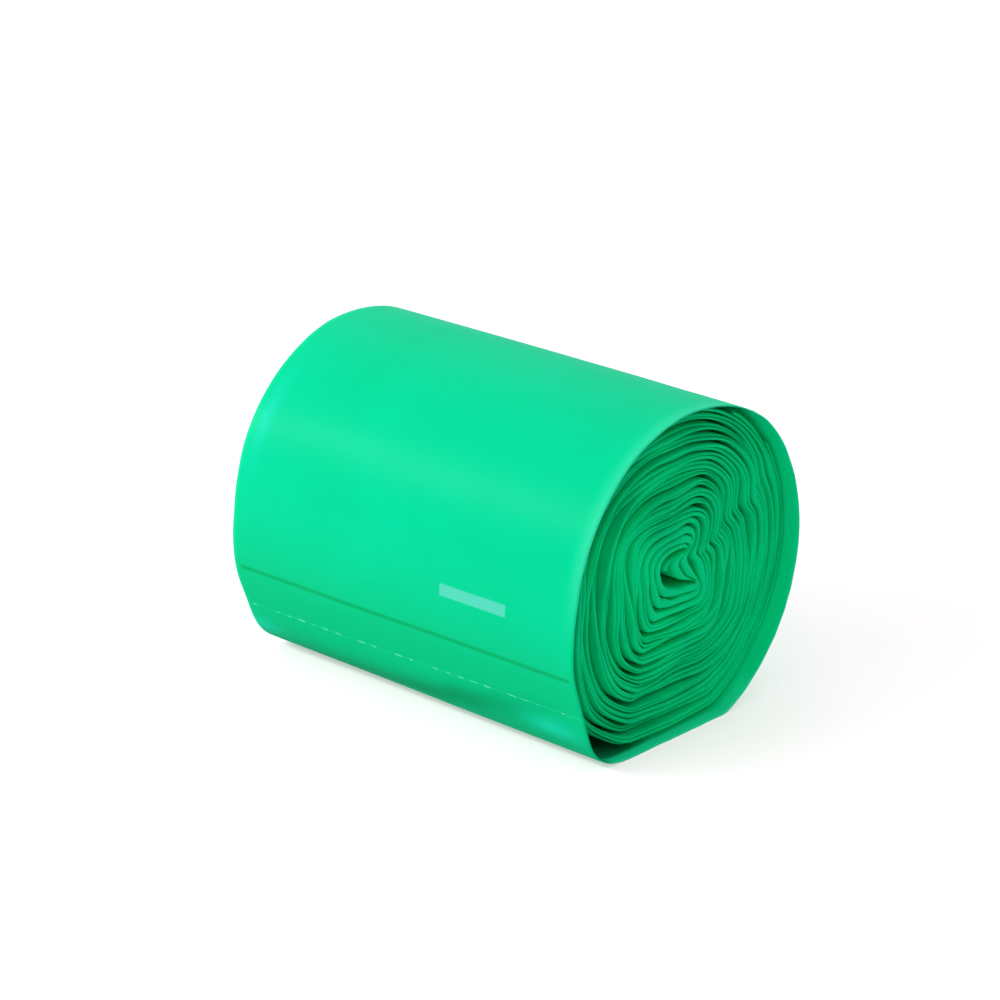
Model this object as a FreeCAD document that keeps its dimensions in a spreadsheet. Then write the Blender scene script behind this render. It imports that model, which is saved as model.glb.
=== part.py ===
# Coreless roll of folded film bags, lying on its side.
# X runs along the roll, with the open end towards +X. Z is up, and the flat spot rests on Z = 0.
# The whole roll is one strip wound on itself, so it is one solid with a spiral slit between its turns.
import FreeCAD, Part
import math
import os

NODE = "bag_roll"

doc = FreeCAD.newDocument("BinBagRoll")
sheet = doc.addObject("Spreadsheet::Sheet", "Sizes")

# Driving dimensions, in millimetres and degrees. Angles are seen from +X, from +Y towards +Z.
driving = [
    ("roll_length", 125.0, "loose outer turn, end to end"),
    ("near_recess", 5.0, "tight turns end this far inside the loose turn at +X"),
    ("far_recess", 1.5, "the same at -X"),
    ("wound_radius", 45.9, "outside of the tight turns, where the loose turn starts"),
    ("heart_radius", 9.5, "outside of the collapsed middle, where the slit starts"),
    ("turn_pitch", 2.6, "from one turn to the next"),
    ("turn_gap", 0.45, "slit between two turns"),
    ("loose_thickness", 0.8, "free end of the strip"),
    ("tail_angle", 58.0, "where the free end lies"),
    ("tail_lift", 0.6, "how far the free end stands off"),
    ("tail_reach", 69.0, "angle over which it lifts"),
    ("flat_press", 2.5, "how far the underside is pressed flat"),
    ("press_round", 0.25, "rounding where the pressed stretch begins and ends"),
    ("oval_rise", 0.7, "turns are taller than wide by this much each way"),
    ("oval_angle", 77.0, "direction of the tall axis"),
    ("side_bulge", 2.0, "slack low on the front side"),
    ("side_angle", 199.0, "its place"),
    ("side_spread", 16.0, "its half width"),
    ("foot_bulge", 4.2, "slack of the tight turns towards the front foot"),
    ("foot_angle", 228.0, "its place"),
    ("foot_spread", 19.0, "its half width"),
    ("corner_slack", 3.4, "the loose turn stands off this much more at the front foot"),
    ("corner_spread", 13.0, "its half width"),
    ("squareness", 0.15, "how square the inner turns are"),
    ("square_turn", 4.0, "turn of that square"),
    ("dent_depth", 4.6, "fold that presses into the turns from the upper back"),
    ("dent_width", 4.6, "its half width"),
    ("dent_angle", 25.0, "its place"),
    ("hollow_width", 1.3, "collapsed middle hole"),
    ("hollow_size", 7.0, "reach of the middle hole from the winding centre"),
]
for row, (alias, value, note) in enumerate(driving, start=1):
    sheet.set("A%d" % row, alias)
    sheet.set("B%d" % row, str(value))
    sheet.set("C%d" % row, note)
    sheet.setAlias("B%d" % row, alias)
doc.recompute()

FULL_TURN = 360.0
BOTTOM = 270.0
SIDES_OF_A_SQUARE = 4
ARCS_PER_TURN = 12
HALVINGS = 60
# The ground presses a turn only where the turn faces down at least this steeply, as a sine.
FACES_DOWN = 0.3
# Angles at which the loose turn is sure to be clear of the ground, before and after its lowest point.
CLEAR_BEFORE = 216.0
CLEAR_AFTER = 342.0
# A bend flatter than this, in millimetres, is drawn straight.
STRAIGHT = 0.0005
# Centre line of the collapsed middle hole, as shares of hollow_size from the winding centre.
HOLLOW_LINE = [(0.42, 0.86), (-0.05, 0.84), (-0.62, 0.80), (-0.86, 0.42), (-0.66, 0.02),
               (-0.28, -0.40), (0.30, -0.60), (0.88, -0.70)]
# Slit between the two plies of the fold that reaches the middle, in the same shares.
FOLD_LINE = [(0.12, 0.34), (0.50, 0.20), (0.98, -0.04), (1.26, -0.18)]


def last_turn_share(angle):
    return ((angle - sheet.tail_angle) % FULL_TURN) / FULL_TURN


def loose_rise():
    return sheet.turn_gap + sheet.loose_thickness


def axis_height():
    return sheet.wound_radius + loose_rise() * last_turn_share(BOTTOM) - sheet.flat_press


def bump(angle, centre, spread):
    away = (angle - centre + FULL_TURN / 2) % FULL_TURN - FULL_TURN / 2
    return math.exp(-(away / spread) ** 2)


def lesser(first, second):
    # The smaller of two radii, with the change between them rounded.
    return (first + second - math.hypot(first - second, sheet.press_round)) / 2


def floor_radius(level, angle):
    # How far a turn may reach before the layers under it lie on the ground.
    drop = -math.sin(math.radians(angle))
    if drop < FACES_DOWN:
        return None
    below = sheet.wound_radius + loose_rise() * last_turn_share(angle) - level
    return (axis_height() - below) / drop


def turn_radius(level, angle):
    # Radius of a turn whose plain radius is level, shaped as it is pressed, folded and slack.
    share = level / sheet.wound_radius
    turned = SIDES_OF_A_SQUARE * math.radians(angle - sheet.square_turn)
    square = 1 - sheet.squareness * (1 - share) * math.cos(turned)
    outward = min(share, 1.0) ** 3
    radius = level * square
    radius += outward * sheet.oval_rise * math.cos(2 * math.radians(angle - sheet.oval_angle))
    radius += outward * sheet.side_bulge * bump(angle, sheet.side_angle, sheet.side_spread)
    radius += outward * sheet.foot_bulge * bump(angle, sheet.foot_angle, sheet.foot_spread)
    dent_spread = math.degrees(sheet.dent_width / level)
    radius -= (1 - outward) * sheet.dent_depth * bump(angle, sheet.dent_angle, dent_spread)
    return radius


def tight_point(level, angle):
    radius = turn_radius(level, angle)
    limit = floor_radius(level, angle)
    if limit is not None:
        radius = lesser(radius, limit)
    return polar(radius, angle)


def polar(radius, angle):
    turn = math.radians(angle)
    return FreeCAD.Vector(0, radius * math.cos(turn), axis_height() + radius * math.sin(turn))


def loose_radius(level, angle, share):
    # The last turn is slack: it stands off at the front foot and lifts towards its free end.
    radius = turn_radius(level, angle)
    radius += sheet.corner_slack * bump(angle, sheet.foot_angle, sheet.corner_spread)
    reach = sheet.tail_reach / FULL_TURN
    rise = min(max((share - 1 + reach) / reach, 0.0), 1.0)
    return radius + sheet.tail_lift * rise * rise * (3 - 2 * rise)


def arc(first, middle, last):
    if middle.distanceToLine(first, last - first) < STRAIGHT:
        return Part.makeLine(first, last)
    return Part.Arc(first, middle, last).toShape()


def arcs(points):
    # A smooth line of arcs, each through three points in a row.
    return [arc(*points[index:index + 3]) for index in range(0, len(points) - 2, 2)]


def steps(start, end):
    # Even angles, with an odd number of them, as arcs need.
    count = 2 * max(1, round(abs(end - start) / FULL_TURN * ARCS_PER_TURN))
    return [start + (end - start) * index / count for index in range(count + 1)]


def whole_turns():
    # The slit begins under the free end, clear of the folded middle, so its turns are whole ones.
    return math.floor(round((sheet.wound_radius - sheet.heart_radius) / sheet.turn_pitch, 6))


def tight_turns():
    # Section of all tight turns: the middle, and the strip that winds out of it.
    end = sheet.tail_angle
    start = end - FULL_TURN * whole_turns()

    def outside(angle):
        return sheet.wound_radius - sheet.turn_pitch * (end - angle) / FULL_TURN

    def inside(angle):
        return outside(angle) - sheet.turn_pitch + sheet.turn_gap

    outer = [tight_point(outside(a), a) for a in steps(start, end)]
    inner = [tight_point(inside(a), a) for a in steps(end, start + FULL_TURN)]
    edges = [*arcs(outer), Part.makeLine(outer[-1], inner[0]),
             *arcs(inner), Part.makeLine(inner[-1], outer[0])]
    return Part.Face(Part.Wire(edges))


def loose_turn():
    # Section of the last turn, from the end of the tight turns round to the free end.
    start = sheet.tail_angle
    thick = sheet.turn_pitch - sheet.turn_gap

    def wall(angle):
        share = (angle - start) / FULL_TURN
        return thick + (sheet.loose_thickness - thick) * share

    def outside(angle):
        share = (angle - start) / FULL_TURN
        return loose_radius(sheet.wound_radius + loose_rise() * share, angle, share)

    def inside(angle):
        share = (angle - start) / FULL_TURN
        level = sheet.wound_radius + loose_rise() * share - wall(angle)
        radius = loose_radius(level, angle, share)
        drop = -math.sin(math.radians(angle))
        if drop < FACES_DOWN:
            return radius
        return lesser(radius, (axis_height() - wall(angle)) / drop)

    def height(angle):
        return axis_height() + outside(angle) * math.sin(math.radians(angle))

    front = meeting_angle(height, CLEAR_BEFORE, BOTTOM)
    back = meeting_angle(height, CLEAR_AFTER, BOTTOM)
    end = start + FULL_TURN
    rising = [polar(outside(a), a) for a in steps(start, front)]
    falling = [polar(outside(a), a) for a in steps(back, end)]
    rising[-1].z = 0
    falling[0].z = 0
    inner = [polar(inside(a), a) for a in steps(end, start)]
    edges = [*arcs(rising), Part.makeLine(rising[-1], falling[0]), *arcs(falling),
             Part.makeLine(falling[-1], inner[0]), *arcs(inner), Part.makeLine(inner[-1], rising[0])]
    return Part.Face(Part.Wire(edges))


def meeting_angle(height, clear, pressed):
    # The angle between a clear one and a pressed one at which the outside meets the ground.
    for _ in range(HALVINGS):
        middle = (clear + pressed) / 2
        if height(middle) > 0:
            clear = middle
        else:
            pressed = middle
    return (clear + pressed) / 2


def ribbon(shares, width):
    # A slit of even width with round ends, along a smooth line.
    line = Part.BSplineCurve()
    line.interpolate([FreeCAD.Vector(0, y * sheet.hollow_size, axis_height() + z * sheet.hollow_size)
                      for y, z in shares])
    count = 4 * (len(shares) - 1)
    first = line.FirstParameter
    span = line.LastParameter - first
    left = []
    right = []
    for index in range(count + 1):
        where = first + span * index / count
        along = line.tangent(where)[0]
        side = FreeCAD.Vector(0, -along.z, along.y) * (width / 2)
        left.append(line.value(where) + side)
        right.append(line.value(where) - side)
    tip = line.value(line.LastParameter) + line.tangent(line.LastParameter)[0] * (width / 2)
    root = line.value(first) - line.tangent(first)[0] * (width / 2)
    edges = [*arcs(left), Part.Arc(left[-1], tip, right[-1]).toShape(),
             *arcs(right[::-1]), Part.Arc(right[0], root, left[0]).toShape()]
    return Part.Face(Part.Wire(edges))


def extruded(name, section, length, start):
    # A prism along +X whose length and start follow the sheet.
    flat = doc.addObject("Part::Feature", name + "_section")
    flat.Shape = section
    prism = doc.addObject("Part::Extrusion", name)
    prism.Base = flat
    prism.DirMode = "Custom"
    prism.Dir = FreeCAD.Vector(1, 0, 0)
    prism.Solid = True
    prism.setExpression("LengthFwd", length)
    prism.setExpression("Placement.Base.x", start)
    return prism


def build_roll():
    tight = extruded("tight_turns", tight_turns(),
                     "Sizes.roll_length - Sizes.near_recess - Sizes.far_recess",
                     "Sizes.far_recess - Sizes.roll_length / 2")
    loose = extruded("loose_turn", loose_turn(), "Sizes.roll_length", "-Sizes.roll_length / 2")
    hollow = extruded("hollow", ribbon(HOLLOW_LINE, sheet.hollow_width),
                      "Sizes.roll_length", "-Sizes.roll_length / 2")
    fold = extruded("fold", ribbon(FOLD_LINE, sheet.turn_gap),
                    "Sizes.roll_length", "-Sizes.roll_length / 2")
    strip = doc.addObject("Part::MultiFuse", "strip")
    strip.Shapes = [tight, loose]
    slits = doc.addObject("Part::MultiFuse", "slits")
    slits.Shapes = [hollow, fold]
    roll = doc.addObject("Part::Cut", NODE)
    roll.Base = strip
    roll.Tool = slits
    roll.Label = NODE
    return roll


def settle(roll):
    # The frame's origin is under the middle of the roll's box.
    doc.recompute()
    box = roll.Shape.optimalBoundingBox(True, False)
    roll.Placement = FreeCAD.Placement(FreeCAD.Vector(0, -box.Center.y, 0), FreeCAD.Rotation())
    doc.recompute()


def check():
    for item in doc.Objects:
        if "Invalid" in item.State or "Error" in item.State:
            raise RuntimeError("%s failed: %s" % (item.Name, item.State))


roll = build_roll()
settle(roll)
check()
if roll.Shape.isNull() or not roll.Shape.isValid() or len(roll.Shape.Solids) != 1:
    raise RuntimeError("%s is not one valid solid" % NODE)
os.makedirs("parts", exist_ok=True)
roll.Shape.exportStep("parts/%s.step" % NODE)
box = roll.Shape.BoundBox
print("box %.2f x %.2f x %.2f mm" % (box.XLength, box.YLength, box.ZLength))
print("volume %.1f cm3, %d faces" % (roll.Shape.Volume / 1000, len(roll.Shape.Faces)))
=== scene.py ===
# Bin bag roll: a coreless roll of folded film bags, lying on its flat spot.
# The winding follows the same rule as the solid in the frame.
# Sizes are in mm and degrees, and the meshes in metres.
import bpy
import math
from mathutils import Matrix, Vector, noise


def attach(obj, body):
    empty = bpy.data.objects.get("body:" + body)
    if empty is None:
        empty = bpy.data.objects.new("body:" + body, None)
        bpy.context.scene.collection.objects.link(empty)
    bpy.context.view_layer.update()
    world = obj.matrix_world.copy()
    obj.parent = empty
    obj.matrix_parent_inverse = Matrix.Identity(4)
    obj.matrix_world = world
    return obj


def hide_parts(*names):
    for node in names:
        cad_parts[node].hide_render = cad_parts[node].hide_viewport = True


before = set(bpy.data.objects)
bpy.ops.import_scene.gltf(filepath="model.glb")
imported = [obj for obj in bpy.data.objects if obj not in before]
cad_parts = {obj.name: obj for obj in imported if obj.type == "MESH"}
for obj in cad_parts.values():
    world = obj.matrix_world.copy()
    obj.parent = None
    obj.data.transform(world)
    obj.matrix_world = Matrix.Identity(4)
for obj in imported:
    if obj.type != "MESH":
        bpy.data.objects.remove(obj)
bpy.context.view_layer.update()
mm = 0.001
fullTurn = 360.0
print("frame loaded:", sorted(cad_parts))


# Small helpers for node trees, colours and meshes

def addNode(tree, kind, inputs=None, **settings):
    # Adds one node, sets its settings, and fills its sockets with values or with other nodes' outputs.
    node = tree.nodes.new(kind)
    for name, value in settings.items():
        setattr(node, name, value)
    for socket, value in (inputs or {}).items():
        if isinstance(value, bpy.types.NodeSocket):
            tree.links.new(value, node.inputs[socket])
        else:
            node.inputs[socket].default_value = value
    return node


def linear(hexColour):
    # sRGB hex to the linear values that the shader wants.
    channels = [int(hexColour[i:i + 2], 16) / 255 for i in (0, 2, 4)]
    return [c / 12.92 if c <= 0.04045 else ((c + 0.055) / 1.055) ** 2.4 for c in channels] + [1.0]


def newObject(name, data):
    # Puts a mesh, a lamp or a camera into the scene.
    holder = bpy.data.objects.new(name, data)
    bpy.context.scene.collection.objects.link(holder)
    return holder


def applyNodes(piece, tree, values):
    # Runs a Geometry Nodes tree on a piece once and keeps the plain mesh.
    modifier = piece.modifiers.new(tree.name, "NODES")
    modifier.node_group = tree
    for item in tree.interface.items_tree:
        if item.in_out == "INPUT" and item.name in values:
            modifier[item.identifier] = values[item.name]
    depsgraph = bpy.context.evaluated_depsgraph_get()
    mesh = bpy.data.meshes.new_from_object(piece.evaluated_get(depsgraph), depsgraph=depsgraph)
    piece.modifiers.clear()
    piece.data = mesh
    return piece


# The rule of the winding, shared by every piece

winding = {
    "woundRadius": 45.9,        # outside of the tight turns
    "pitch": 2.6,               # from one turn to the next
    "gap": 0.45, "looseThickness": 0.8,     # the slit under the outer turn and that turn, in the solid
    "tailAngle": 58.0,          # where the free end lies, seen from the open end
    "tailLift": 0.6, "tailReach": 69.0,     # how high the free end rises, and over how many degrees
    "flatPress": 2.5, "pressSoftness": 0.25,    # how far the roll's own weight presses it flat
    "lowSide": 0.3,             # how steeply down a direction points before the ground reaches it
    "ovalRise": 0.7, "ovalAngle": 77.0,
    "sideBulge": 2.0, "sideAngle": 199.0, "sideSpread": 16.0,
    "footBulge": 4.2, "footAngle": 228.0, "footSpread": 19.0,
    "cornerSlack": 3.4, "cornerSpread": 13.0,   # the outer turn bulges more at the foot
    "tuck": 1.5, "tuckAngle": 232.0, "tuckSpread": 10.0,   # and the tight turns less, so a pocket is left
    "squareness": 0.15, "squareTurn": 4.0,      # inner turns are a little square
    "dentDepth": 4.6, "dentWidth": 4.6, "dentAngle": 25.0,
    "looseEnds": (-62.5, 62.5), "tightEnds": (-61.0, 57.5),
}
rise = winding["gap"] + winding["looseThickness"]


def lastShare(angle):
    # How far round the last turn an angle lies, from 0 to 1.
    return ((angle - winding["tailAngle"]) % fullTurn) / fullTurn


axisHeight = winding["woundRadius"] + rise * lastShare(270) - winding["flatPress"]


def bump(angle, centre, spread):
    away = (angle - centre + fullTurn / 2) % fullTurn - fullTurn / 2
    return math.exp(-(away / spread) ** 2)


def lesser(first, second, softness):
    # The smaller of two values, with a rounded change from one to the other.
    return (first + second - math.hypot(first - second, softness)) / 2


def smooth(share):
    # Eases from 0 to 1.
    share = min(max(share, 0.0), 1.0)
    return share * share * (3 - 2 * share)


def waves(first, second, scales):
    # Smooth noise from -1 to 1 over two lengths or angles, each with its own scale, in a slice of its own.
    firstScale, secondScale, plane = scales
    return noise.noise(Vector((first / firstScale, second / secondScale, plane)))


def outwardShare(level):
    # 0 in the middle and 1 at the outside, where the turns take on the roll's lopsided outline.
    return min(level / winding["woundRadius"], 1.0) ** 3


def turnRadius(level, angle):
    # A level is the radius that a turn would have if it were round.
    share = level / winding["woundRadius"]
    turned = math.radians(angle - winding["squareTurn"])
    radius = level * (1 - winding["squareness"] * (1 - share) * math.cos(4 * turned))
    outward = outwardShare(level)
    oval = math.cos(2 * math.radians(angle - winding["ovalAngle"]))
    radius += outward * winding["ovalRise"] * oval
    radius += outward * winding["sideBulge"] * bump(angle, winding["sideAngle"], winding["sideSpread"])
    radius += outward * winding["footBulge"] * bump(angle, winding["footAngle"], winding["footSpread"])
    dentSpread = math.degrees(winding["dentWidth"] / level)
    return radius - (1 - outward) * winding["dentDepth"] * bump(angle, winding["dentAngle"], dentSpread)


def floorLimit(above, angle):
    # Radius at which a point lies that far above the ground.
    drop = -math.sin(math.radians(angle))
    return (axisHeight - above) / drop if drop > winding["lowSide"] else None


def polar(radius, angle):
    turn = math.radians(angle)
    return radius * math.cos(turn), radius * math.sin(turn)


def tightPlace(level, angle):
    # Where the tight turns lie, pressed flat on each other above the flat spot.
    radius = turnRadius(level, angle)
    tucked = bump(angle, winding["tuckAngle"], winding["tuckSpread"])
    radius -= outwardShare(level) * winding["tuck"] * tucked
    limit = floorLimit(winding["woundRadius"] + rise * lastShare(angle) - level, angle)
    return polar(radius if limit is None else lesser(radius, limit, winding["pressSoftness"]), angle)


def looseRadius(level, angle, share, corner=1.0):
    # The outer turn: slack at the foot, and rising towards its free end.
    radius = turnRadius(level, angle)
    radius += corner * winding["cornerSlack"] * bump(angle, winding["footAngle"], winding["cornerSpread"])
    reach = winding["tailReach"] / fullTurn
    return radius + winding["tailLift"] * smooth((share - 1 + reach) / reach)


def looseEdge(samples=720):
    # Lowest and highest Y of the outline, which centre the winding in the frame.
    across = []
    for index in range(samples):
        share = index / samples
        angle = winding["tailAngle"] + fullTurn * share
        across.append(looseRadius(winding["woundRadius"] + rise * share, angle, share)
                      * math.cos(math.radians(angle)))
    return min(across), max(across)


axisY = -sum(looseEdge()) / 2
print("winding axis at y %.2f mm, z %.2f mm" % (axisY, axisHeight))

# The middle, where the turns are folded in on themselves

heart = {
    "outerLevel": 14.7,         # from here outwards the plain rule holds
    "innerLevel": 5.25,         # the collapsed hole's edge
    "unevenness": 1.4, "unevenLength": 11.0, "unevenPlanes": (21.3, 33.8),   # how turns wander, everywhere
    "calmOutside": 1.12, "calmInside": (9.0, 0.6),   # but hardly at the rim or near the axis
    # Edge of the collapsed hole: angle on the winding, and place from the axis. It goes round once.
    "hole": [(58, 4.4, 6.0), (85, 0.6, 6.3), (110, -2.6, 5.9), (135, -4.7, 4.6), (160, -5.5, 2.6),
             (185, -5.2, 0.6), (208, -3.6, -1.2), (228, -1.4, -2.6), (255, 2.2, -3.7), (285, 6.0, -4.2),
             (315, 8.8, -4.3), (332, 7.6, -3.5), (343, 3.6, -3.0), (353, -0.6, -1.7), (362, -2.9, 0.3),
             (370, -3.3, 2.0), (378, -2.0, 3.6), (388, 1.0, 4.5), (398, 4.4, 4.5), (408, 5.6, 5.1)],
}


def holePlace(angle):
    # A smooth closed line through the hole's points (Catmull-Rom).
    points = heart["hole"]
    count = len(points)
    start = points[0][0]
    angle = (angle - start) % fullTurn + start
    index = max(i for i in range(count) if points[i][0] <= angle)
    following = points[(index + 1) % count][0] + (fullTurn if index + 1 == count else 0)
    t = (angle - points[index][0]) / (following - points[index][0])
    weights = ((-t + 2 * t * t - t ** 3) / 2, (2 - 5 * t * t + 3 * t ** 3) / 2,
               (t + 4 * t * t - 3 * t ** 3) / 2, (t ** 3 - t * t) / 2)
    near = [points[(index + step) % count] for step in (-1, 0, 1, 2)]
    return tuple(sum(w * p[axis + 1] for w, p in zip(weights, near)) for axis in (0, 1))


def uneven(point):
    # Turns never lie quite even: neighbours wander together, less so under the outer turn.
    y, z = point
    out = math.hypot(y, z)
    reach, start = heart["calmInside"]
    inner = smooth(heart["calmOutside"] - out / winding["woundRadius"]) * smooth(out / reach - start)
    length = heart["unevenLength"]
    aside, up = (waves(y, z, (length, length, plane)) for plane in heart["unevenPlanes"])
    return y + aside * heart["unevenness"] * inner, z + up * heart["unevenness"] * inner


def place(level, angle):
    # Where a ply lies: the plain rule outside, and eased towards the folded hole inside.
    if level >= heart["outerLevel"]:
        return uneven(tightPlace(level, angle))
    share = (level - heart["innerLevel"]) / (heart["outerLevel"] - heart["innerLevel"])
    share = max(share, 0.0)
    outer = tightPlace(heart["outerLevel"], angle)
    inner = holePlace(angle)
    return uneven(tuple(i + (o - i) * share for i, o in zip(inner, outer)))


# The tight turns: folded film plies, wound on themselves

plies = {
    "fill": 0.93,               # share of its room that a ply takes up
    "thickest": 2.6, "thinnest": 0.2,
    "partLevel": 15.0, "partReach": 1.2,    # from here outwards a turn shows as two plies
    "unequal": 0.6, "unequalWaves": (70, 2.1, 7.3),     # how much one of the two is thicker
    "slit": 0.38,               # between two turns
    "slitChange": 0.95, "slitWaves": (30, 2.0, 5.5),    # how much that varies, over degrees and mm
    "narrowest": 0.05, "widest": 1.15,
    "pressedSlit": 0.6, "pressedAngle": 312, "pressedSpread": 40,   # turns lie closer on this side
    # The fold that fills the middle: where it lies, how close its turns are, how plump, and how far back.
    "foldAngle": 15, "foldSpread": 40, "foldLevel": 9.5, "foldSoftness": 2.0,
    "foldSlit": 0.85, "foldPlump": 1.1, "foldBack": 1.2,
    "pointsPerTurn": 150,
    "waver": 0.2, "waverWaves": (34, 3.1, 9),   # sideways, from ply to ply
    "calmShare": -0.1,          # the last turn doesn't waver outwards
    "edgeWander": 1.5,          # in and out along the roll
    "wanderLength": 48.0, "wanderApart": 7.7,
    "slide": 3.0, "slideLevel": 13.0, "slideReach": 6.0,   # outer turns stand out or back at the ends
    "slideWaves": (60, 4.3, 8.8), "slideEnd": 0.02, "slideFade": 0.25,
    "ends": (0.005, 0.94),      # shares of the last turn at which the two plies end
    "stepShare": 0.125,         # the last turn makes room for the loose sheet within this share of itself
    # Places where turns stand open: level, angle, half width of that angle, opening.
    "open": [(15.9, 232, 26, 1.3), (13.8, 290, 26, 1.0), (17.3, 60, 36, 1.5), (22.7, 118, 20, 0.5),
             (25.3, 74, 38, 0.9), (33.1, 116, 34, 0.6), (35.6, 70, 36, 1.0), (38.1, 46, 14, 0.7),
             (43.4, 82, 30, 0.6), (28.6, 185, 28, 0.9), (31.2, 172, 24, 0.6), (26.0, 198, 20, 0.5),
             (36.4, 182, 26, 0.7), (23.6, 215, 20, 0.8), (21.3, 254, 20, 0.6), (23.9, 246, 22, 0.7),
             (26.5, 236, 16, 0.6), (29.1, 258, 24, 0.9), (34.2, 242, 22, 1.1), (39.5, 248, 20, 1.0),
             (42.1, 238, 14, 0.7), (42.6, 30, 18, -0.7), (40.2, 36, 14, -0.2), (37.7, 4, 18, 0.6),
             (32.6, 22, 12, 0.6)],
    "openReach": 0.9,
    "section": 2.0, "sectionRound": 0.9,    # of the swept sheet, before its own thickness is put on
    "seed": 3.0,
}


def foldShare(level, angle):
    # 1 in the fold that fills the middle, and 0 away from it.
    return (bump(angle, plies["foldAngle"], plies["foldSpread"])
            * smooth((plies["foldLevel"] - level) / plies["foldSoftness"]))


def opening(level, angle):
    # How wide the slit below a turn stands.
    pressed = plies["pressedSlit"] * bump(angle, plies["pressedAngle"], plies["pressedSpread"])
    pressed = max(pressed, plies["foldSlit"] * foldShare(level, angle))
    width = plies["slit"] * (1 - pressed)
    width += plies["slitChange"] * (1 - pressed) * waves(angle, level, plies["slitWaves"])
    for openLevel, openAngle, spread, extra in plies["open"]:
        nearby = math.exp(-((level - openLevel) / plies["openReach"]) ** 2)
        width += extra * bump(angle, openAngle, spread) * nearby
    return min(max(width, plies["narrowest"]), plies["widest"])


def plyBand(ply, outside, angle, thick):
    # Outer and inner level of one ply of a turn. In the folded middle the first is the whole turn.
    half = smooth((outside - plies["partLevel"]) / plies["partReach"]) / 2
    half *= 1 + plies["unequal"] * waves(angle, outside, plies["unequalWaves"])
    if ply == 0:
        return outside, outside - thick * (1 - half)
    return outside - thick * (1 - half), outside - thick


def plyPath(ply):
    # Points of one ply from the middle outwards: middle, thickness, and shift along the roll.
    turnsIn = (winding["woundRadius"] - heart["innerLevel"]) / winding["pitch"]
    start = winding["tailAngle"] - fullTurn * turnsIn
    end = winding["tailAngle"] + fullTurn * plies["ends"][ply]
    waverAngle, waverPly, waverLevel = plies["waverWaves"]
    steps = round((end - start) / fullTurn * plies["pointsPerTurn"])
    across = []
    for index in range(steps + 1):
        angle = start + (end - start) * index / steps
        share = (angle - winding["tailAngle"]) / fullTurn
        outside = winding["woundRadius"] + winding["pitch"] * min(share, 0.0)
        thick = winding["pitch"] - opening(outside - winding["pitch"], angle)
        if share > 0:
            outside += rise * share - looseTurn["thickness"] * smooth(share / plies["stepShare"])
            thick += (winding["looseThickness"] - thick) * share
        above, below = plyBand(ply, outside, angle, thick)
        if above - below < plies["thinnest"] or (above + below) / 2 < heart["innerLevel"]:
            continue
        spot = Vector((angle / waverAngle, ply * waverPly, outside / waverLevel))
        wobble = noise.noise(spot) * plies["waver"]
        if share > plies["calmShare"]:
            wobble = min(wobble, 0.0)
        slide = plies["slide"] * waves(angle, outside - ply, plies["slideWaves"])
        slide *= smooth((plies["slideEnd"] - share) / plies["slideFade"])
        slide *= smooth((outside - plies["slideLevel"]) / plies["slideReach"])
        slide -= plies["foldBack"] * foldShare(outside, angle)
        thickest = plies["thickest"] + plies["foldPlump"] * foldShare(outside, angle)
        across.append((Vector(place(above + wobble, angle)), Vector(place(below + wobble, angle)),
                       slide, thickest))
    middles = [(outer + inner) / 2 for outer, inner, *_ in across]
    path = []
    for index, (outer, inner, slide, thickest) in enumerate(across):
        before, after = middles[max(index - 1, 0)], middles[min(index + 1, len(across) - 1)]
        ahead = (after - before).normalized()
        room = abs(ahead.x * (outer - inner).y - ahead.y * (outer - inner).x)
        path.append((middles[index], min(room * plies["fill"], thickest), slide))
    return path


def plyMesh():
    # Bare lines, one for each ply, with the numbers that the node tree reads.
    centre = sum(winding["tightEnds"]) / 2
    points, edges, ply, run, slides, thickness = [], [], [], [], [], []
    for number in range(len(plies["ends"])):
        path = plyPath(number)
        travelled = 0.0
        for index, (middle, thick, slide) in enumerate(path):
            if index:
                travelled += (middle - path[index - 1][0]).length
                edges.append((len(points) - 1, len(points)))
            points.append((centre * mm, (axisY + middle.x) * mm, (axisHeight + middle.y) * mm))
            ply.append(float(number))
            run.append(travelled * mm)
            slides.append(slide * mm)
            thickness.append(thick * mm)
    mesh = bpy.data.meshes.new("plyLines")
    mesh.from_pydata(points, edges, [])
    for name, values in (("ply", ply), ("run", run), ("slide", slides), ("thickness", thickness)):
        mesh.attributes.new(name, "FLOAT", "POINT").data.foreach_set("value", values)
    return mesh


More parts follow.
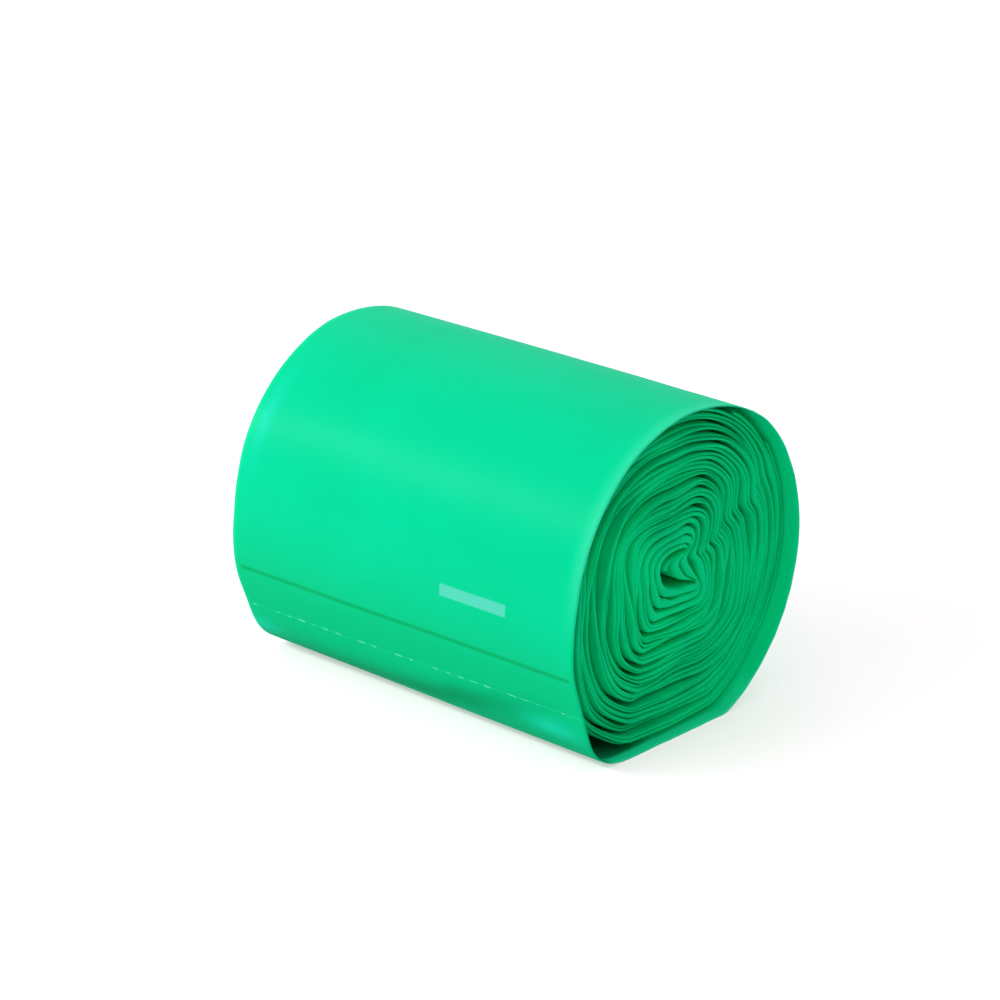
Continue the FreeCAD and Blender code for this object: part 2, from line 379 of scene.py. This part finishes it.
def filmTree():
    # Geometry Nodes: sweeps a thin sheet along each line and lets its two edges wander.
    tree = bpy.data.node_groups.new("windFilm", "GeometryNodeTree")
    for name, kind in (("Lines", "Geometry"), ("Width", "Float"), ("Edge wander", "Float"),
                       ("Wander length", "Float"), ("Seed", "Float"), ("Film", "Material")):
        tree.interface.new_socket(name, in_out="INPUT", socket_type="NodeSocket" + kind)
    tree.interface.new_socket("Geometry", in_out="OUTPUT", socket_type="NodeSocketGeometry")
    given = addNode(tree, "NodeGroupInput").outputs
    ply, run, slide, thickness = (
        addNode(tree, "GeometryNodeInputNamedAttribute", {"Name": name}, data_type="FLOAT").outputs[0]
        for name in ("ply", "run", "slide", "thickness"))
    here = addNode(tree, "GeometryNodeInputPosition").outputs[0]
    curve = addNode(tree, "GeometryNodeMeshToCurve", {"Mesh": given["Lines"]})
    upright = addNode(tree, "GeometryNodeSetCurveNormal", {"Curve": curve.outputs[0], "Normal": (1, 0, 0)},
                      mode="FREE")
    marked = addNode(tree, "GeometryNodeStoreNamedAttribute",
                     {"Geometry": upright.outputs[0], "Name": "middle", "Value": here},
                     data_type="FLOAT_VECTOR", domain="POINT")
    section = addNode(tree, "GeometryNodeCurvePrimitiveQuadrilateral",
                      {"Width": given["Width"], "Height": plies["section"] * mm}, mode="RECTANGLE")
    rounded = addNode(tree, "GeometryNodeFilletCurve",
                      {"Curve": section.outputs[0], "Radius": plies["sectionRound"] * mm,
                       "Limit Radius": True, "Count": 4}, mode="POLY")
    swept = addNode(tree, "GeometryNodeCurveToMesh",
                    {"Curve": marked.outputs[0], "Profile Curve": rounded.outputs[0], "Fill Caps": True})
    # The stored thickness brings the section, across the film only, to its own.
    middle = addNode(tree, "GeometryNodeInputNamedAttribute", {"Name": "middle"},
                     data_type="FLOAT_VECTOR").outputs[0]
    away = addNode(tree, "ShaderNodeVectorMath", {0: here, 1: middle}, operation="SUBTRACT")
    thin = addNode(tree, "ShaderNodeMath", {0: thickness, 1: 1 / (plies["section"] * mm)},
                   operation="MULTIPLY").outputs[0]
    flat = addNode(tree, "ShaderNodeCombineXYZ", {0: 1.0, 1: thin, 2: thin})
    thinned = addNode(tree, "ShaderNodeVectorMath", {0: away.outputs[0], 1: flat.outputs[0]},
                      operation="MULTIPLY")
    pressed = addNode(tree, "ShaderNodeVectorMath", {0: middle, 1: thinned.outputs[0]}, operation="ADD")
    # Each edge wanders by noise along the run, another one for each ply and end.
    along = addNode(tree, "ShaderNodeMath", {0: run, 1: given["Wander length"]}, operation="DIVIDE")
    apart = addNode(tree, "ShaderNodeMath", {0: ply, 1: plies["wanderApart"]}, operation="MULTIPLY")
    side = addNode(tree, "ShaderNodeSeparateXYZ", {0: here})
    end = addNode(tree, "ShaderNodeMath", {0: side.outputs[0]}, operation="SIGN")
    sample = addNode(tree, "ShaderNodeCombineXYZ",
                     {0: along.outputs[0], 1: apart.outputs[0], 2: end.outputs[0]})
    wander = addNode(tree, "ShaderNodeTexNoise",
                     {"Vector": sample.outputs[0], "W": given["Seed"], "Scale": 1.0, "Detail": 3.0,
                      "Roughness": 0.55}, noise_dimensions="4D")
    centred = addNode(tree, "ShaderNodeMath", {0: wander.outputs[0], 1: 0.5}, operation="SUBTRACT")
    outward = addNode(tree, "ShaderNodeMath",
                      {0: centred.outputs[0], 1: given["Edge wander"], 2: slide}, operation="MULTIPLY_ADD")
    shift = addNode(tree, "ShaderNodeCombineXYZ", {0: outward.outputs[0]})
    moved = addNode(tree, "GeometryNodeSetPosition",
                    {"Geometry": swept.outputs[0], "Position": pressed.outputs[0],
                     "Offset": shift.outputs[0]})
    soft = addNode(tree, "GeometryNodeSetShadeSmooth", {"Geometry": moved.outputs[0]})
    real = addNode(tree, "GeometryNodeRealizeInstances", {"Geometry": soft.outputs[0]})
    dressed = addNode(tree, "GeometryNodeSetMaterial",
                      {"Geometry": real.outputs[0], "Material": given["Film"]})
    addNode(tree, "NodeGroupOutput", {0: dressed.outputs[0]})
    return tree


def tightTurns(material):
    low, high = winding["tightEnds"]
    piece = newObject("tight_turns", plyMesh())
    applyNodes(piece, filmTree(), {
        "Width": (high - low) * mm,
        "Edge wander": 2 * plies["edgeWander"] * mm,
        "Wander length": plies["wanderLength"] * mm,
        "Seed": plies["seed"], "Film": material})
    print("tight turns:", len(piece.data.polygons), "faces")
    return piece


# The loose outer turn: one sheet of film with the seal, the tear line and the print

looseTurn = {
    "thickness": 0.3,
    "around": 360, "along": 72,
    "farCorner": 0.4, "nearCorner": 0.92,   # the slack foot is tucked in at the far end
    "curl": 0.1, "curlLength": 4.0,     # the near edge turns in a little
    "tailDrop": 0.6, "tailHug": 10.0,   # the free end lies down over its last degrees
    "startLift": 0.75, "startReach": 30.0,   # and on a start that is as high as that
    "belly": 0.75, "bellyEnds": 0.45, "bellyAngle": 52.0, "bellySpread": 42.0,   # fuller at mid length
    # The sheet swells and dips a little, and the dips have a floor. The foot does neither.
    "sag": 0.25, "sagWaves": (38, 22, 4.1), "sagFloor": 0.3, "sagSoftness": 0.2,
    "tautAngle": 224, "tautSpread": 14,
    "footSoftness": 0.4,
    # Lines pressed into the film: depth in mm, half width in degrees. They fade out near the edges.
    "sealAngle": 198.6, "sealDent": (0.06, 0.7),
    "tearAngle": 212.6, "tearSkew": 1.3, "tearDent": (0.1, 1.2),
    "edgeFade": 6.0,
    "fray": 0.35, "frayWaves": (12, 1.0, 9.2), "frayRow": 0.3, "frayPower": 8,   # uneven cut edges
    "crowding": 0.45,           # how much closer the columns of the mesh stand at both ends
}


def tearAngleAt(x):
    # The tear line runs a little askew on the roll.
    low, high = winding["looseEnds"]
    return looseTurn["tearAngle"] + looseTurn["tearSkew"] * (high - x) / (high - low)


creases = {
    # The long crease at the foot, dented in and painted with shade: place along the roll, angle, strength.
    # Then its half width and depth.
    "foot": [(-62.5, 229, 0.3), (-39, 228.5, 0.6), (-13.5, 226.5, 0.8), (4, 224.5, 1.0), (19, 221.0, 1.0),
             (32, 218.5, 0.7), (43.5, 216, 0.4), (53, 213.5, 0.1), (62.5, 212, 0.0)],
    "spread": 4.2, "depth": 0.35,
    # Crests that catch the light, raised a little and with a painted highlight: place along the roll,
    # angle, half length, half width, strength.
    "crests": [(50, 219.5, 9, 3.0, 1.0), (-61, 222.5, 9, 3.6, 0.8), (-57.6, 144, 2.6, 15, 1.0),
               (22, 231, 26, 2.4, 0.5)],
    "height": 0.15,
}


def creaseAt(angle, x):
    # How deep in the foot's crease a point lies, from 0 to 1.
    line = creases["foot"]
    for (x0, angle0, strength0), (x1, angle1, strength1) in zip(line, line[1:]):
        if x <= x1:
            break
    share = smooth((x - x0) / (x1 - x0))
    middle = angle0 + (angle1 - angle0) * share
    return (strength0 + (strength1 - strength0) * share) * bump(angle, middle, creases["spread"])


def crestAt(angle, x):
    # How far up a crest a point lies, from 0 to 1.
    total = sum(strength * bump(angle, middle, width) * math.exp(-((x - spot) / length) ** 2)
                for spot, middle, length, width, strength in creases["crests"])
    return min(total, 1.0)


def looseSurface(angle, x, inset):
    # A point of the loose sheet, inset from its outside.
    share = (angle - winding["tailAngle"]) / fullTurn
    low, high = winding["looseEnds"]
    reach = (x - low) / (high - low)
    corner = looseTurn["farCorner"] + (looseTurn["nearCorner"] - looseTurn["farCorner"]) * reach
    radius = looseRadius(winding["woundRadius"] + rise * share, angle, share, corner)
    radius -= looseTurn["tailDrop"] * smooth((angle - winding["tailAngle"] - fullTurn
                                              + looseTurn["tailHug"]) / looseTurn["tailHug"])
    radius += looseTurn["startLift"] * smooth(1 - (angle - winding["tailAngle"]) / looseTurn["startReach"])
    full = looseTurn["belly"] + (looseTurn["bellyEnds"] - looseTurn["belly"]) * (2 * reach - 1) ** 2
    radius += full * bump(angle, looseTurn["bellyAngle"], looseTurn["bellySpread"])
    sag = -lesser(-waves(x, angle, looseTurn["sagWaves"]), looseTurn["sagFloor"], looseTurn["sagSoftness"])
    radius += looseTurn["sag"] * sag * (1 - bump(angle, looseTurn["tautAngle"], looseTurn["tautSpread"]))
    radius += creases["height"] * crestAt(angle, x) - creases["depth"] * creaseAt(angle, x) ** 2
    inner = smooth(min(x - low, high - x) / looseTurn["edgeFade"])
    for (depth, width), middle in ((looseTurn["tearDent"], tearAngleAt(x)),
                                   (looseTurn["sealDent"], looseTurn["sealAngle"])):
        radius -= depth * inner * math.exp(-((angle - middle) / width) ** 2)
    nearEdge = smooth(1 - (high - x) / looseTurn["curlLength"])
    radius -= looseTurn["curl"] * nearEdge ** 2
    radius -= inset
    limit = floorLimit(inset, angle)
    if limit is not None:
        radius = lesser(radius, limit, looseTurn["footSoftness"])
    y, z = polar(radius, angle)
    return x * mm, (axisY + y) * mm, (axisHeight + z) * mm


def looseMesh():
    # Outer and inner skin of the sheet, joined by a rim round its four edges.
    low, high = winding["looseEnds"]
    rows, columns = looseTurn["around"] + 1, looseTurn["along"] + 1
    angles = [winding["tailAngle"] + fullTurn * i / (rows - 1) for i in range(rows)]
    spread = [0.5 - 0.5 * math.cos(math.pi * j / (columns - 1)) for j in range(columns)]
    crowding = looseTurn["crowding"]
    ends = [low + (high - low) * (crowding * s + (1 - crowding) * j / (columns - 1))
            for j, s in enumerate(spread)]
    points = []
    for inset in (0.0, looseTurn["thickness"]):
        for angle in angles:
            fray = looseTurn["fray"] * waves(angle, looseTurn["frayRow"], looseTurn["frayWaves"])
            for j, x in enumerate(ends):
                pull = fray * (2 * j / (columns - 1) - 1) ** looseTurn["frayPower"]
                points.append(looseSurface(angle, x - abs(pull) * (1 if j > columns / 2 else -1), inset))
    count = rows * columns
    faces = []
    for i in range(rows - 1):
        for j in range(columns - 1):
            a = i * columns + j
            quad = (a, a + columns, a + columns + 1, a + 1)
            faces.append(quad)
            faces.append(tuple(count + v for v in reversed(quad)))
    rim = [i * columns for i in range(rows)]
    rim += [(rows - 1) * columns + j for j in range(1, columns)]
    rim += [i * columns + columns - 1 for i in range(rows - 2, -1, -1)]
    rim += [j for j in range(columns - 2, 0, -1)]
    for here, there in zip(rim, rim[1:] + rim[:1]):
        faces.append((there, here, here + count, there + count))
    mesh = bpy.data.meshes.new("looseTurn")
    mesh.from_pydata(points, [], faces)
    layer = mesh.uv_layers.new(name="strip")
    for loop in mesh.loops:
        row, column = divmod(loop.vertex_index % count, columns)
        layer.data[loop.index].uv = ((ends[column] - low) / (high - low), row / (rows - 1))
    inside = [1.0 if index >= count else 0.0 for index in range(2 * count)]
    # The crease's depth and the crests' height, which the material paints as shade and highlight.
    creaseShade = [creaseAt(angle, x) for angle in angles for x in ends] * 2
    crestHighlight = [crestAt(angle, x) for angle in angles for x in ends] * 2
    for name, values in (("inside", inside), ("creaseShade", creaseShade), ("crestHighlight", crestHighlight)):
        mesh.attributes.new(name, "FLOAT", "POINT").data.foreach_set("value", values)
    mesh.shade_smooth()
    for face in mesh.polygons[-len(rim):]:   # the cut edge of the film stays crisp
        face.use_smooth = False
    mesh.validate()
    return mesh


# Materials: all of them low-density polyethylene film, blown thin and dyed through

film = {
    "cloud": 22.222, "cloudLevels": (0.3, 0.7),     # mm from a paler patch to a deeper one
    "glossChange": 0.02,
    # Real film's grain is too fine to show, so it is drawn this coarse, in mm.
    "grain": 1.1111, "grainHeight": 0.2, "grainShare": 0.05,
    "ior": 1.5, "tint": "C8FFF2",
    "scatter": (0.4, 1.0, 0.8), "scatterDepth": 1.2,        # mm that light travels inside the film
    "slackMatt": 0.35,          # how much rougher the slack foot is, with its fine wrinkles
    "topMatt": 0.6,             # and the share of that on top
}


def filmMaterial(name, colour, deeper, roughness, specular, lit=0.0, coat=None):
    # Cloudy colour, a weak satin skin, and where lit isn't 0 light that goes a short way in.
    material = bpy.data.materials.new(name)
    material.use_nodes = True
    tree = material.node_tree
    tree.nodes.clear()
    where = addNode(tree, "ShaderNodeTexCoord").outputs["Object"]
    cloud = addNode(tree, "ShaderNodeTexNoise",
                    {"Vector": where, "Scale": 1 / (film["cloud"] * mm), "Detail": 3.0})
    low, high = film["cloudLevels"]
    level = addNode(tree, "ShaderNodeMapRange",
                    {"Value": cloud.outputs[0], "From Min": low, "From Max": high})
    result = addNode(tree, "ShaderNodeMix", {0: level.outputs[0], 6: linear(colour), 7: linear(deeper)},
                     data_type="RGBA").outputs[2]
    gloss = addNode(tree, "ShaderNodeMapRange", {
        "Value": cloud.outputs[0], "To Min": roughness - film["glossChange"],
        "To Max": roughness + film["glossChange"]}).outputs[0]
    if coat:
        result, matt = coat(tree, result)
        gloss = addNode(tree, "ShaderNodeMath", {0: matt, 1: film["slackMatt"], 2: gloss},
                        operation="MULTIPLY_ADD").outputs[0]
    grain = addNode(tree, "ShaderNodeTexNoise",
                    {"Vector": where, "Scale": 1 / (film["grain"] * mm), "Detail": 2.0})
    relief = addNode(tree, "ShaderNodeBump", {"Height": grain.outputs[0], "Strength": film["grainShare"],
                                              "Distance": film["grainHeight"] * mm})
    shader = addNode(tree, "ShaderNodeBsdfPrincipled", {
        "Base Color": result, "Roughness": gloss, "Normal": relief.outputs[0],
        "IOR": film["ior"], "Specular IOR Level": specular, "Specular Tint": linear(film["tint"]),
        "Subsurface Weight": lit, "Subsurface Radius": film["scatter"],
        "Subsurface Scale": film["scatterDepth"] * mm})
    addNode(tree, "ShaderNodeOutputMaterial", {"Surface": shader.outputs[0]})
    return material


def band(tree, value, low, high, soft, share=1.0):
    # The share between two values and 0 outside them, with soft edges.
    up = addNode(tree, "ShaderNodeMapRange", {
        "Value": value, "From Min": low - soft, "From Max": low + soft}, interpolation_type="SMOOTHSTEP")
    down = addNode(tree, "ShaderNodeMapRange", {
        "Value": value, "From Min": high - soft, "From Max": high + soft, "To Min": 1.0, "To Max": 0.0},
        interpolation_type="SMOOTHSTEP")
    inside = addNode(tree, "ShaderNodeMath", {0: up.outputs[0], 1: down.outputs[0]}, operation="MULTIPLY")
    shared = addNode(tree, "ShaderNodeMath", {0: inside.outputs[0], 1: share}, operation="MULTIPLY")
    return shared.outputs[0]


# Paint on the outer turn: print and seal, and painted light and shade. Angles, widths and soft are in
# degrees on the winding, ends and endSoft in mm.
paint = {
    # The first two: painted shade, darker towards the underside and under the foot, where less light
    # reaches.
    "lowerShade": {"colour": "00D08A", "angles": (192, 300), "soft": 20},
    "under": {"colour": "00BC82", "angles": (219, 292), "soft": 7, "share": 0.75},
    # Painted shade in the foot's crease.
    "creaseShade": {"colour": "009E66", "share": 0.85},
    # Painted highlight on the crests of the slack foot.
    "crestHighlight": {"colour": "18E8BC", "share": 0.7},
    "tear": {"colour": "40E8B8", "width": 0.288, "soft": 0.252, "share": 0.3},
    "seal": {"colour": "00B668", "width": 1.3, "soft": 0.648, "ends": (-60.5, 60.5), "endSoft": 1.25},
    "bar": {"colour": "58E0BE", "angles": (180, 184), "soft": 0.18, "ends": (15.2, 38.6), "endSoft": 0.15},
    # Painted highlight along the sheet's overhanging near edge.
    "overhangHighlight": {"colour": "3CE8B0", "angles": (60, 172), "soft": 18, "ends": (57.5, 62.5), "share": 0.7},
    # Painted shade on the inside of the sheet; the next two paint light that comes through the film.
    "inside": {"colour": "008C5A"},
    "litInside": {"colour": "04F0A6", "angles": (252, 430), "soft": 7.2},
    # Painted light where the sheet's inside lies open at the near end of the foot.
    "litMouth": {"colour": "20FFB8", "angles": (234, 306), "soft": 3.6, "ends": (59, 70), "endSoft": 1.0},
    "slack": {"angles": (198, 292), "soft": 10.08},
    "top": {"angles": (80, 122)},
}


def printAndPaintedLight(tree, base):
    # Painted shade towards the underside and in the crease of the slack foot, painted highlights on its
    # crests and the near edge. The heat seal is a deeper line, the print is a plain pale bar, and the
    # inside of the sheet has painted shade, with painted light where it is lit through.
    strip = addNode(tree, "ShaderNodeUVMap", uv_map="strip")
    parts = addNode(tree, "ShaderNodeSeparateXYZ", {0: strip.outputs[0]})
    along, around = parts.outputs[0], parts.outputs[1]
    creaseShade, crestHighlight, inside = (
        addNode(tree, "ShaderNodeAttribute", attribute_name=name, attribute_type="GEOMETRY").outputs["Fac"]
        for name in ("creaseShade", "crestHighlight", "inside"))
    low, high = winding["looseEnds"]

    def turnShare(angle):
        return (angle - winding["tailAngle"]) / fullTurn

    def lengthShare(x):
        return (x - low) / (high - low)

    def aroundBand(name, share=1.0):
        start, end = (turnShare(angle) for angle in paint[name]["angles"])
        return band(tree, around, start, end, paint[name]["soft"] / fullTurn, share)

    def alongBand(name, share=1.0):
        start, end = (lengthShare(x) for x in paint[name]["ends"])
        return band(tree, along, start, end, paint[name]["endSoft"] / (high - low), share)

    # The tear line's own angle, straightened, and the seal's.
    skewed = addNode(tree, "ShaderNodeMath", {0: along, 1: looseTurn["tearSkew"] / fullTurn, 2: around},
                     operation="MULTIPLY_ADD").outputs[0]
    lines = {}
    for name, value, middle in (("tear", skewed, looseTurn["tearAngle"] + looseTurn["tearSkew"]),
                                ("seal", around, looseTurn["sealAngle"])):
        half = paint[name]["width"] / 2
        lines[name] = (value, turnShare(middle - half), turnShare(middle + half),
                       paint[name]["soft"] / fullTurn)
    # Painted highlight along the overhanging near edge.
    overhangHighlight = addNode(tree, "ShaderNodeMapRange", {
        "Value": along, "From Min": lengthShare(paint["overhangHighlight"]["ends"][0]),
        "From Max": lengthShare(paint["overhangHighlight"]["ends"][1]), "To Max": paint["overhangHighlight"]["share"]},
        interpolation_type="SMOOTHSTEP").outputs[0]
    # Painted shade in the crease and painted highlight on the crests.
    creaseShadeShare, crestHighlightShare = (
        addNode(tree, "ShaderNodeMath", {0: value, 1: paint[name]["share"]},
                operation="MULTIPLY").outputs[0]
        for name, value in (("creaseShade", creaseShade), ("crestHighlight", crestHighlight)))
    coats = [("lowerShade", aroundBand("lowerShade")), ("under", aroundBand("under", paint["under"]["share"])),
             ("creaseShade", creaseShadeShare), ("crestHighlight", crestHighlightShare),
             ("tear", band(tree, *lines["tear"], paint["tear"]["share"])),
             ("seal", band(tree, *lines["seal"], alongBand("seal"))),
             ("bar", aroundBand("bar", alongBand("bar"))), ("overhangHighlight", aroundBand("overhangHighlight", overhangHighlight)),
             ("inside", inside), ("litInside", aroundBand("litInside", inside)),
             ("litMouth", aroundBand("litMouth", alongBand("litMouth", inside)))]
    result = base
    for name, share in coats:
        result = addNode(tree, "ShaderNodeMix", {0: share, 6: result, 7: linear(paint[name]["colour"])},
                         data_type="RGBA").outputs[2]
    start, end = (turnShare(angle) for angle in paint["top"]["angles"])
    top = addNode(tree, "ShaderNodeMapRange", {
        "Value": around, "From Min": start, "From Max": end, "To Min": film["topMatt"], "To Max": 0.0},
        interpolation_type="SMOOTHSTEP")
    matt = addNode(tree, "ShaderNodeMath", {0: aroundBand("slack"), 1: top.outputs[0]}, operation="MAXIMUM")
    return result, matt.outputs[0]


# The tear line: a row of short slits whose lips stand up and catch the light

tearLine = {
    "pitch": 4.6, "length": 3.5, "width": 0.55, "height": 0.14,
    "fromEdge": 3.0, "proud": 0.04,
    "leanReach": 0.6,           # degrees to either side, from which a lip's lean is taken
    "openShare": 0.74,          # of the slits, the others are still closed
    "smallest": (0.4, 0.45, 0.4), "largest": (1.1, 1.2, 1.1),
    "swing": 0.10,              # radians
    "seed": 5,
}


def lipMesh():
    # One lip: a slim pointed lens, flat underneath.
    half, wide, tall = tearLine["length"] / 2 * mm, tearLine["width"] / 2 * mm, tearLine["height"] * mm
    points = [(-half, 0, 0), (half, 0, 0)]
    for x, share in ((-0.65 * half, 0.75), (0.0, 1.0), (0.65 * half, 0.75)):
        points += [(x, -wide * share, 0), (x, 0, tall), (x, wide * share, 0)]
    faces = [(0, 2, 3), (0, 3, 4), (0, 4, 2), (1, 9, 8), (1, 10, 9), (1, 8, 10)]
    for start in (2, 5):
        for step in range(3):
            a, b = start + step, start + (step + 1) % 3
            faces.append((a, a + 3, b + 3, b))
    mesh = bpy.data.meshes.new("lip")
    mesh.from_pydata(points, [], faces)
    return newObject("lip", mesh)


def tearTree():
    # Geometry Nodes: sets a lip at the points of the open slits on the tear line, turned a little each
    # time.
    tree = bpy.data.node_groups.new("tearLine", "GeometryNodeTree")
    for name, kind in (("Points", "Geometry"), ("Lip", "Object"), ("Seed", "Int"), ("Film", "Material")):
        tree.interface.new_socket(name, in_out="INPUT", socket_type="NodeSocket" + kind)
    tree.interface.new_socket("Geometry", in_out="OUTPUT", socket_type="NodeSocketGeometry")
    given = addNode(tree, "NodeGroupInput").outputs
    lip = addNode(tree, "GeometryNodeObjectInfo", {"Object": given["Lip"]})
    lean = addNode(tree, "GeometryNodeInputNamedAttribute", {"Name": "lean"}, data_type="FLOAT")
    swing = addNode(tree, "FunctionNodeRandomValue",
                    {2: -tearLine["swing"], 3: tearLine["swing"], "Seed": given["Seed"]}, data_type="FLOAT")
    turn = addNode(tree, "ShaderNodeCombineXYZ", {0: lean.outputs[0], 2: swing.outputs[1]})
    size = addNode(tree, "FunctionNodeRandomValue", {0: tearLine["smallest"], 1: tearLine["largest"],
                                                     "Seed": given["Seed"]}, data_type="FLOAT_VECTOR")
    torn = addNode(tree, "FunctionNodeRandomValue", {"Probability": tearLine["openShare"],
                                                     "Seed": given["Seed"]}, data_type="BOOLEAN")
    lips = addNode(tree, "GeometryNodeInstanceOnPoints",
                   {"Points": given["Points"], "Selection": torn.outputs[3],
                    "Instance": lip.outputs["Geometry"],
                    "Rotation": turn.outputs[0], "Scale": size.outputs[0]})
    real = addNode(tree, "GeometryNodeRealizeInstances", {"Geometry": lips.outputs[0]})
    dressed = addNode(tree, "GeometryNodeSetMaterial",
                      {"Geometry": real.outputs[0], "Material": given["Film"]})
    addNode(tree, "NodeGroupOutput", {0: dressed.outputs[0]})
    return tree


def tearDashes(material):
    low, high = winding["looseEnds"]
    count = int((high - low - 2 * tearLine["fromEdge"]) / tearLine["pitch"])
    points, lean = [], []
    for index in range(count + 1):
        x = low + tearLine["fromEdge"] + index * tearLine["pitch"]
        angle = tearAngleAt(x)
        points.append(looseSurface(angle, x, -tearLine["proud"]))
        above, below = (Vector(looseSurface(angle + step, x, 0))
                        for step in (tearLine["leanReach"], -tearLine["leanReach"]))
        across = above - below
        lean.append(math.atan2(across.z, across.y))
    mesh = bpy.data.meshes.new("tearPoints")
    mesh.from_pydata(points, [], [])
    mesh.attributes.new("lean", "FLOAT", "POINT").data.foreach_set("value", lean)
    lip = lipMesh()
    piece = newObject("tear_line", mesh)
    applyNodes(piece, tearTree(), {"Lip": lip, "Seed": tearLine["seed"], "Film": material})
    bpy.data.objects.remove(lip)
    print("tear line:", count + 1, "slits")
    return piece


# Build the roll

# Blown film, smooth and under light tension: even colour that looks lit from inside, with a satin band.
outerFilm = filmMaterial("blownPolyethylene", "00DE9E", "00DA98", 0.32, 0.035, 0.35, printAndPaintedLight)
# The same film folded and cut, seen on edge: deeper and duller, with shadow between the plies.
tightFilm = filmMaterial("foldedPolyethylene", "00E896", "00CC84", 0.6, 0.03)
# The lips of the perforating blade's slits are drawn paler than the film around them.
slitFilm = filmMaterial("stretchedPolyethylene", "60F0CC", "40E4B8", 0.4, 0.05)

tight = tightTurns(tightFilm)
loose = newObject("loose_turn", looseMesh())
loose.data.materials.append(outerFilm)
tear = tearDashes(slitFilm)
for piece in (tight, loose, tear):
    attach(piece, "root")
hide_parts("bag_roll")
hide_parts("bag_roll")
print("roll built")

# Floor, light and camera

studio = {
    "world": 0.65,
    "shadowLift": 0.46,         # how far the camera sees the floor lifted to white
    "lens": 151.62,
    "camera": (719.03, -800.11, 459.83),
    "azimuth": 42.146, "elevation": 20.823,
    "measuredAxis": 0.2,        # the winding axis in the frame that the camera was measured in
    "floorSize": 3.0, "floor": (0.88, 0.80, 0.84),
    "keyPlace": (-0.60, -0.66, 0.60), "keyAim": (0, 0, 0.05), "keySize": (1.6, 0.14), "keyPower": 7.9,
}


def seenRays(tree):
    # 1 for what the camera, reflections and clear things see.
    rays = addNode(tree, "ShaderNodeLightPath").outputs
    seen = addNode(tree, "ShaderNodeMath", {0: rays["Is Camera Ray"], 1: rays["Is Glossy Ray"]},
                   operation="MAXIMUM")
    return addNode(tree, "ShaderNodeMath", {0: seen.outputs[0], 1: rays["Is Transmission Ray"]},
                   operation="MAXIMUM").outputs[0]


def paleFloor():
    # A white floor that keeps the shadow. What the camera and reflections see is lifted to white.
    size = studio["floorSize"]
    mesh = bpy.data.meshes.new("floor")
    mesh.from_pydata([(-size, -size, 0), (size, -size, 0), (size, size, 0), (-size, size, 0)], [],
                     [(0, 1, 2, 3)])
    floor = newObject("floor", mesh)
    material = bpy.data.materials.new("paleFloor")
    material.use_nodes = True
    tree = material.node_tree
    tree.nodes.clear()
    lift = addNode(tree, "ShaderNodeMath", {0: seenRays(tree), 1: studio["shadowLift"]},
                   operation="MULTIPLY")
    plain = addNode(tree, "ShaderNodeBsdfDiffuse", {"Color": (*studio["floor"], 1)})
    glow = addNode(tree, "ShaderNodeEmission", {"Color": (1, 1, 1, 1), "Strength": lift.outputs[0]})
    both = addNode(tree, "ShaderNodeAddShader", {0: plain.outputs[0], 1: glow.outputs[0]})
    addNode(tree, "ShaderNodeOutputMaterial", {"Surface": both.outputs[0]})
    mesh.materials.append(material)


def paleWorld():
    # Even light from all round, and a white background.
    world = bpy.data.worlds.new("studio")
    bpy.context.scene.world = world
    world.use_nodes = True
    tree = world.node_tree
    tree.nodes.clear()
    strength = addNode(tree, "ShaderNodeMapRange", {"Value": seenRays(tree),
                                                    "To Min": studio["world"], "To Max": 1.0})
    light = addNode(tree, "ShaderNodeBackground", {"Color": (1, 1, 1, 1),
                                                   "Strength": strength.outputs[0]})
    addNode(tree, "ShaderNodeOutputWorld", {"Surface": light.outputs[0]})


def stripLight():
    # A long soft light beside the roll, which draws the satin band along it.
    lamp = bpy.data.lights.new("keyLight", "AREA")
    lamp.shape = "RECTANGLE"
    lamp.size, lamp.size_y = studio["keySize"]
    lamp.energy = studio["keyPower"]
    holder = newObject("keyLight", lamp)
    holder.location = studio["keyPlace"]
    back = (Vector(studio["keyPlace"]) - Vector(studio["keyAim"])).normalized()
    along = (Vector((1, 0, 0)) - back * back.x).normalized()
    holder.rotation_euler = Matrix((along, back.cross(along), back)).transposed().to_euler()


def photoCamera():
    # Stands where the photo was taken from.
    camera = newObject("camera", bpy.data.cameras.new("camera"))
    camera.data.lens = studio["lens"]
    camera.data.sensor_width = 36
    x, y, z = studio["camera"]
    camera.location = (x * mm, (y + axisY - studio["measuredAxis"]) * mm, z * mm)
    camera.rotation_euler = (math.radians(90 - studio["elevation"]), 0, math.radians(studio["azimuth"]))
    bpy.context.scene.camera = camera


paleFloor()
paleWorld()
stripLight()
photoCamera()
bpy.context.scene.view_settings.view_transform = "Standard"
print("floor, light and camera set")
